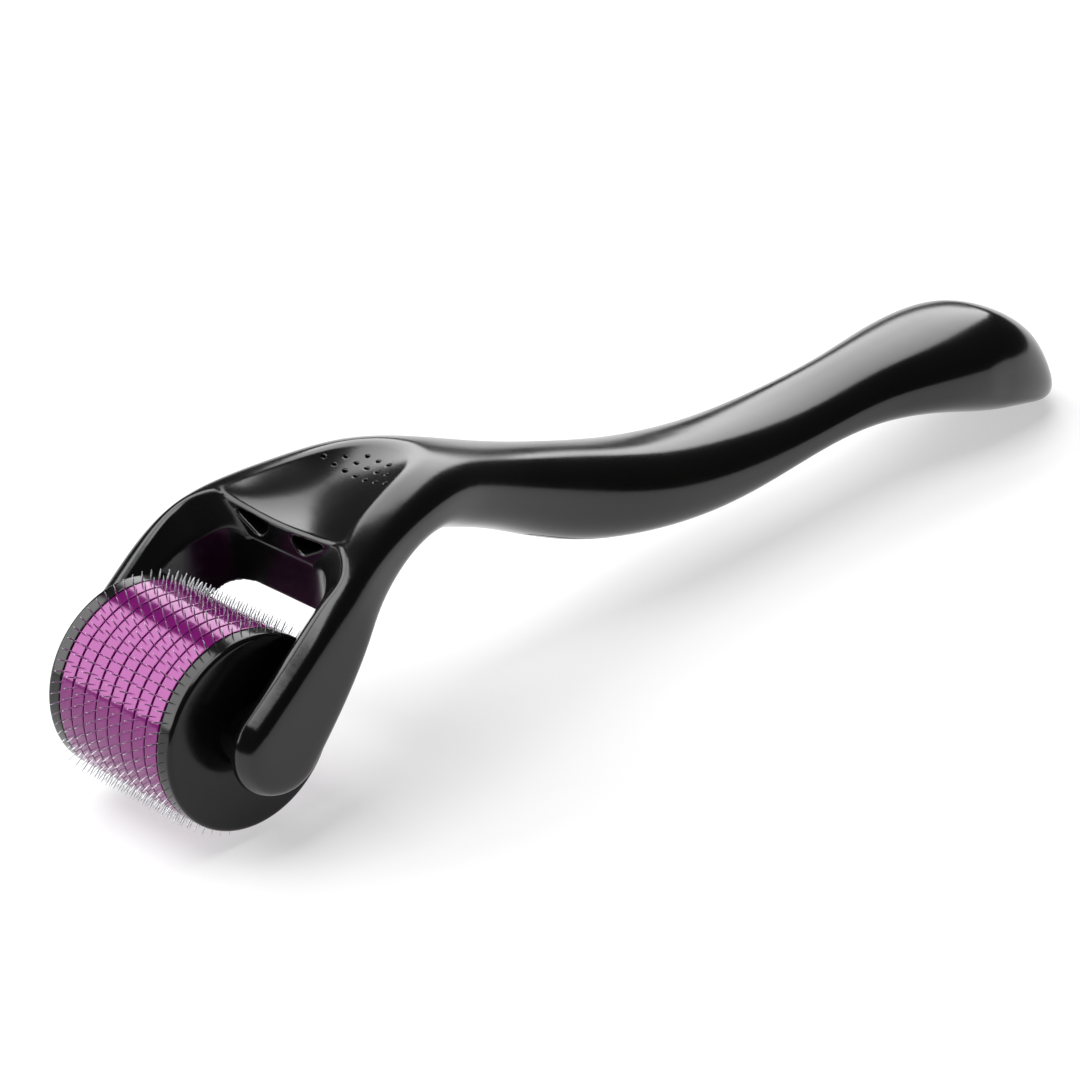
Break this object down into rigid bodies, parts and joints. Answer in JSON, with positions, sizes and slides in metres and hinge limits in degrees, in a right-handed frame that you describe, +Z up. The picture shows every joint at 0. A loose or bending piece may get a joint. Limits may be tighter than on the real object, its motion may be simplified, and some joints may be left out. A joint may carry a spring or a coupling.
{
  "type": "derma roller",
  "caption": "Hand-held skin roller: a drum of fine steel points between coloured rings turns freely in the fork of a slim, curved black handle with a dished thumb rest.",
  "frame": {"origin": "under the middle of the roller, on the surface it rests on", "axes": "+X from the drum towards the tail of the handle, +Y along the drum's axis, +Z up out of the thumb rest"},
  "size_m": [0.1431, 0.0322, 0.0293],
  "materials": {
    "black_plastic": "polished black injection-moulded plastic",
    "core_plastic": "plain black moulded hub, hidden in the drum",
    "purple_plastic": "bright magenta-purple plastic with a soft metallic sheen",
    "needle_steel": "thin etched stainless sheet with bright points"
  },
  "bodies": {
    "handle": {"handle_upper": "black_plastic", "handle_lower": "black_plastic"},
    "drum": {"drum_core": "core_plastic", "end_cap_near": "black_plastic", "end_cap_far": "black_plastic", "spacer_ring_1": "purple_plastic", "spacer_ring_2": "purple_plastic", "spacer_ring_3": "purple_plastic", "spacer_ring_4": "purple_plastic", "spacer_ring_5": "purple_plastic", "spacer_ring_6": "purple_plastic", "spacer_ring_7": "purple_plastic", "spacer_ring_8": "purple_plastic", "needle_disc_1": "needle_steel", "needle_disc_2": "needle_steel", "needle_disc_3": "needle_steel", "needle_disc_4": "needle_steel", "needle_disc_5": "needle_steel", "needle_disc_6": "needle_steel", "needle_disc_7": "needle_steel", "needle_disc_8": "needle_steel", "needle_disc_9": "needle_steel"}
  },
  "joints": [
    {"name": "drum_spin", "type": "hinge", "parent": "handle", "child": "drum", "pos_m": [-0.0598, 0, 0.0117], "axis": [0, 1, 0], "continuous": true}
  ]
}
